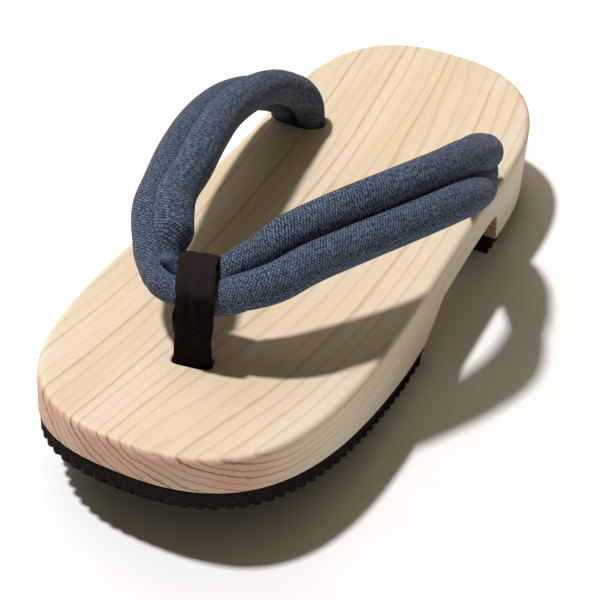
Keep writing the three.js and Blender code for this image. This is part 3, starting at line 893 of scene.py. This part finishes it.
def year_lines(n, mm, parts, end_grain, knot):
    """The thin dark line that ends each year ring, each with a strength of its own. A ring's number is
    the distance from the pith's line along y over RING_WIDTH. Slow and quick noise and the knot bend
    it, and finer noise makes it jagged on end grain."""
    slow = n.swing(n.scaled(mm, 0.035, 0.0035, 0.035))
    quick = n.swing(n.scaled(mm, 0.16, 0.012, 0.16), 2.0)
    jagged = n.swing(n.scaled(mm, 0.55, 0.02, 0.55), 2.0, 0.6)
    warp = n.math("ADD", n.math("MULTIPLY", slow, 9.0), n.math("MULTIPLY", quick, 2.2))
    warp = n.math("ADD", warp, n.math("MULTIPLY", jagged, n.math("MULTIPLY", end_grain, 1.2)))
    warp = n.math("ADD", warp, n.math("MULTIPLY", knot, KNOT["push"]))
    dx = n.math("SUBTRACT", parts.outputs["X"], PITH["x"] + MIDDLE_X)
    dz = n.math("SUBTRACT", parts.outputs["Z"], PITH["z"])
    squares = n.math("ADD", n.math("MULTIPLY", dx, dx), n.math("MULTIPLY", dz, dz))
    years = n.math("DIVIDE", n.math("ADD", n.math("SQRT", squares), warp), RING_WIDTH)
    ring = n.math("FRACT", years)
    own = n.add("ShaderNodeTexWhiteNoise", {"W": n.math("FLOOR", years)}, noise_dimensions="1D")
    strength = n.math("ADD", 0.12, n.math("MULTIPLY", own.outputs["Value"], 0.88))
    fall = n.math("SUBTRACT", 1.0, n.ramp(ring, 0.92, 1.0))
    return n.math("MULTIPLY", n.math("MULTIPLY", n.ramp(ring, 0.60, 0.88), fall), strength)


def face_colour(n, mm, parts, line, streak):
    """Straw in slow cream patches, paler towards +X, with brown streaks and ring lines."""
    straw, cream, pale = rgb(0.79, 0.63, 0.44), rgb(0.83, 0.71, 0.54), rgb(0.80, 0.74, 0.61)
    tan, brown = rgb(0.66, 0.48, 0.30), rgb(0.55, 0.36, 0.20)
    colour = n.group(
        bpy.data.node_groups["mottle"], vector=n.scaled(mm, 0.05, 0.004, 0.05), scale=1.0,
        low=0.40, high=0.62, amount=1.0, first=straw, second=cream,
    ).outputs["Color"]
    colour = n.mix(n.math("MULTIPLY", n.ramp(parts.outputs["X"], 5.0, 45.0), 0.45), colour, pale)
    colour = n.mix(n.math("MULTIPLY", n.ramp(streak, 0.42, 0.78), 0.18), colour, tan)
    return n.mix(n.math("MULTIPLY", line, 0.66), colour, brown)


def end_colour(n, mm, knot, line, streak):
    """Buff in slow rosy patches, redder at the knot, with dark streaks and strong ring lines."""
    buff, rosy, red = rgb(0.68, 0.47, 0.33), rgb(0.69, 0.41, 0.28), rgb(0.78, 0.33, 0.24)
    umber, dark = rgb(0.45, 0.25, 0.16), rgb(0.20, 0.095, 0.050)
    colour = n.group(
        bpy.data.node_groups["mottle"], vector=n.scaled(mm, 0.06, 0.004, 0.06), scale=1.0,
        low=0.42, high=0.62, amount=1.0, first=buff, second=rosy,
    ).outputs["Color"]
    colour = n.mix(n.math("MULTIPLY", knot, 0.5), colour, red)
    colour = n.mix(n.math("MULTIPLY", n.ramp(streak, 0.4, 0.8), 0.35), colour, umber)
    strong = n.math("MINIMUM", n.math("MULTIPLY", line, 1.7), 1.0)
    return n.mix(n.math("MULTIPLY", strong, 0.80), colour, dark)


def cedar():
    """Pale softwood, in millimetres of the object's own place: year rings with streaks along the
    fibres, straw-coloured on the faces and redder on end grain."""
    made, n, shader = material("cedar")
    place = n.add("ShaderNodeTexCoord").outputs["Object"]
    mm = n.scaled(place, 1000.0, 1000.0, 1000.0)
    parts = n.add("ShaderNodeSeparateXYZ", {"Vector": mm})
    end_grain = n.add("ShaderNodeAttribute", attribute_name="end_grain").outputs["Fac"]
    knot = knot_mask(n, parts)
    line = year_lines(n, mm, parts, end_grain, knot)
    streak = n.noise(n.scaled(mm, 1.5, 0.03, 1.5), 1.0, 3.0, 0.6)
    face = face_colour(n, mm, parts, line, streak)
    end = end_colour(n, mm, knot, line, streak)
    n.feed(shader.inputs["Base Color"], n.mix(end_grain, face, end))
    n.feed(shader.inputs["Roughness"], n.math("ADD", 0.46, n.math("MULTIPLY", streak, 0.2)))
    shader.inputs["Specular IOR Level"].default_value = 0.35
    height = n.math("ADD", n.math("MULTIPLY", streak, 0.35), n.math("MULTIPLY", line, 0.3))
    n.bump(shader, height, 0.25, 0.0003)
    return made


def rubber():
    """Matt black sponge rubber: paler crumbs over a lumpy dark ground, the crumbs standing in partly for a
    painted sheen on the ridges.
    """
    made, n, shader = material("sole_rubber")
    place = n.add("ShaderNodeTexCoord").outputs["Object"]
    # Partly painted highlight: the pale specks stand for real crumb and for sheen on the rubber's ridges.
    crumb_and_sheen = n.group(
        bpy.data.node_groups["mottle"], vector=place, scale=1300.0, low=0.50, high=0.80, amount=0.8,
        first=rgb(0.0145, 0.0125, 0.0102), second=rgb(0.060, 0.053, 0.044),
    )
    rough = n.math("ADD", 0.75, n.math("MULTIPLY", crumb_and_sheen.outputs["Mask"], 0.2))
    n.feed(shader.inputs["Base Color"], crumb_and_sheen.outputs["Color"])
    n.feed(shader.inputs["Roughness"], rough)
    shader.inputs["Specular IOR Level"].default_value = 0.02
    lumps = n.noise(place, 420.0, 3.0, 0.6)
    height = n.math("ADD", n.math("MULTIPLY", crumb_and_sheen.outputs["Mask"], 0.4), lumps)
    n.bump(shader, height, 0.5, 0.0005)
    return made


def denim():
    """Blue-grey cotton. Warp and weft threads pass over each other by turns with a slight twill
    between them, and fine noise decides which crossings show pale, so flecks lie unevenly over a
    dark ground."""
    made, n, shader = material("strap_cloth")
    cloth = n.add("ShaderNodeUVMap", uv_map="cloth").outputs["UV"]
    parts = n.add("ShaderNodeSeparateXYZ", {"Vector": cloth})
    bend = n.math("MULTIPLY", n.math("SUBTRACT", n.noise(cloth, 190.0, 2.0), 0.5), 0.0010)
    threads = math.pi / YARN
    warp = n.math("MULTIPLY", n.math("ADD", parts.outputs["X"], bend), threads)
    weft = n.math("MULTIPLY", n.math("SUBTRACT", parts.outputs["Y"], bend), threads)
    check = n.math("MULTIPLY", n.math("SINE", warp), n.math("SINE", weft))
    twill = n.math("SINE", n.math("ADD", warp, weft))
    speckle = n.math("SUBTRACT", n.noise(cloth, 1500.0, 2.0, 0.7), 0.5)
    weave = n.math("ADD", check, n.math("MULTIPLY", twill, 0.30))
    weave = n.math("ADD", n.math("MULTIPLY", weave, 0.55), n.math("MULTIPLY", speckle, 3.2))
    along = n.noise(n.scaled(cloth, 120.0, 1900.0, 1.0), 1.0, 2.0, 0.7)
    round_it = n.noise(n.scaled(cloth, 1900.0, 120.0, 1.0), 1.0, 2.0, 0.7)
    uneven = n.math("ADD", n.ramp(along, 0.30, 0.70), n.ramp(round_it, 0.30, 0.70))
    share = n.math("ADD", 0.30, n.math("MULTIPLY", uneven, 0.40))
    fleck = n.math("MULTIPLY", n.ramp(weave, -0.55, 0.95), share)
    ink, indigo, sky = rgb(0.012, 0.019, 0.044), rgb(0.020, 0.029, 0.058), rgb(0.23, 0.315, 0.435)
    dark = n.group(
        bpy.data.node_groups["mottle"], vector=cloth, scale=70.0, low=0.35, high=0.65, amount=1.0,
        first=ink, second=indigo,
    ).outputs["Color"]
    n.feed(shader.inputs["Base Color"], n.mix(fleck, dark, sky))
    shader.inputs["Roughness"].default_value = 0.92
    shader.inputs["Sheen Weight"].default_value = 0.08
    shader.inputs["Sheen Roughness"].default_value = 0.45
    shader.inputs["Specular IOR Level"].default_value = 0.10
    height = n.math("ADD", weave, n.math("MULTIPLY", uneven, 0.4))
    n.bump(shader, height, 0.5, 0.00018)
    return made


def velvet():
    """Brown-black velvet: a short pile that stands uneven, paler on top where it lies over the strap, from
    worn pile and from painted light on the top.
    """
    made, n, shader = material("thong_velvet")
    place = n.add("ShaderNodeTexCoord").outputs["Object"]
    mottle = bpy.data.node_groups["mottle"]
    nap = n.group(
        mottle, vector=place, scale=210.0, low=0.35, high=0.70, amount=1.0,
        first=rgb(0.0035, 0.0020, 0.0010), second=rgb(0.010, 0.0065, 0.0045),
    ).outputs["Color"]
    pile = n.group(
        mottle, vector=place, scale=2100.0, low=0.40, high=0.75, amount=0.45,
        first=nap, second=rgb(0.024, 0.018, 0.014),
    )
    up = n.add("ShaderNodeSeparateXYZ", {"Vector": place}).outputs["Z"]
    # Painted light and wear: the band turns paler with height, standing in for the light on its top as well
    # as for worn pile.
    lit_top_and_wear = n.math("MULTIPLY", n.ramp(up, 0.058, 0.064), 0.6)
    n.feed(shader.inputs["Base Color"], n.mix(lit_top_and_wear, pile.outputs["Color"], rgb(0.034, 0.026, 0.024)))
    shader.inputs["Roughness"].default_value = 1.0
    shader.inputs["Specular IOR Level"].default_value = 0.02
    shader.inputs["Sheen Weight"].default_value = 0.06
    shader.inputs["Sheen Roughness"].default_value = 0.6
    shader.inputs["Sheen Tint"].default_value = rgb(0.55, 0.45, 0.42)
    tufts = n.math("MULTIPLY", n.noise(place, 500.0, 2.0), 1.2)
    n.bump(shader, n.math("ADD", pile.outputs["Mask"], tufts), 0.9, 0.0004)
    return made


def paper():
    """Matt white paper, a little uneven."""
    made, n, shader = material("floor_paper")
    tone = n.group(
        bpy.data.node_groups["mottle"], vector=n.add("ShaderNodeTexCoord").outputs["Object"],
        scale=40.0, low=0.3, high=0.7, amount=1.0,
        first=rgb(0.94, 0.938, 0.936), second=rgb(0.955, 0.953, 0.951),
    )
    n.feed(shader.inputs["Base Color"], tone.outputs["Color"])
    shader.inputs["Roughness"].default_value = 0.9
    shader.inputs["Specular IOR Level"].default_value = 0.1
    return made


# ---- Stage ----

def make_floor():
    """A plain pale floor."""
    corners = [(x * FLOOR_REACH, y * FLOOR_REACH, 0.0) for x, y in ((-1, -1), (1, -1), (1, 1), (-1, 1))]
    mesh = bpy.data.meshes.new("floor")
    mesh.from_pydata(corners, [], [(0, 1, 2, 3)])
    floor = bpy.data.objects.new("floor", mesh)
    bpy.context.scene.collection.objects.link(floor)
    mesh.materials.append(paper())


def make_light():
    """One key light from above and to the left, and a broad soft box on that side, behind the
    sandal."""
    lamp = bpy.data.lights.new("key", "SUN")
    lamp.energy = KEY["strength"]
    lamp.angle = math.radians(KEY["spread"])
    key = bpy.data.objects.new("key", lamp)
    key.rotation_euler = Vector(KEY["direction"]).to_track_quat("-Z", "Y").to_euler()
    bpy.context.scene.collection.objects.link(key)
    panel = bpy.data.lights.new("soft_box", "AREA")
    panel.energy = SOFT_BOX["watts"]
    panel.size = SOFT_BOX["size"]
    panel.color = SOFT_BOX["colour"]
    box = bpy.data.objects.new("soft_box", panel)
    box.location = SOFT_BOX["place"]
    box.rotation_euler = (-Vector(SOFT_BOX["place"])).to_track_quat("-Z", "Y").to_euler()
    bpy.context.scene.collection.objects.link(box)


def make_world():
    """A faint warm fill from all round, in place of which the camera itself sees white."""
    world = bpy.data.worlds.new("studio")
    world.use_nodes = True
    n = Nodes(world.node_tree)
    fill = n.add("ShaderNodeBackground", {"Color": FILL["colour"], "Strength": FILL["strength"]})
    seen = n.add("ShaderNodeBackground", {"Color": rgb(1.0, 1.0, 1.0), "Strength": 1.0})
    ray = n.add("ShaderNodeLightPath").outputs["Is Camera Ray"]
    both = n.add("ShaderNodeMixShader", {
        0: ray, 1: fill.outputs["Background"], 2: seen.outputs["Background"],
    })
    n.feed(world.node_tree.nodes["World Output"].inputs["Surface"], both.outputs["Shader"])
    bpy.context.scene.world = world


def make_camera():
    """A long lens from the front and the right, rolled a little."""
    lens = bpy.data.cameras.new("camera")
    lens.lens = CAMERA["lens"]
    lens.sensor_width = 36.0
    lens.clip_start, lens.clip_end = 0.01, 50.0
    camera = bpy.data.objects.new("camera", lens)
    place, aim = Vector(CAMERA["place"]) * MM, Vector(CAMERA["aim"]) * MM
    turn = (aim - place).to_track_quat("-Z", "Y").to_matrix().to_4x4()
    roll = Matrix.Rotation(math.radians(CAMERA["roll"]), 4, "Z")
    camera.matrix_world = Matrix.Translation(place) @ turn @ roll
    bpy.context.scene.collection.objects.link(camera)
    bpy.context.scene.camera = camera


bpy.context.scene.view_settings.view_transform = "Standard"
mottle_effect()
make_camera()
make_light()
make_world()
make_floor()
make_base()
make_soles()
make_strap()
make_thong()
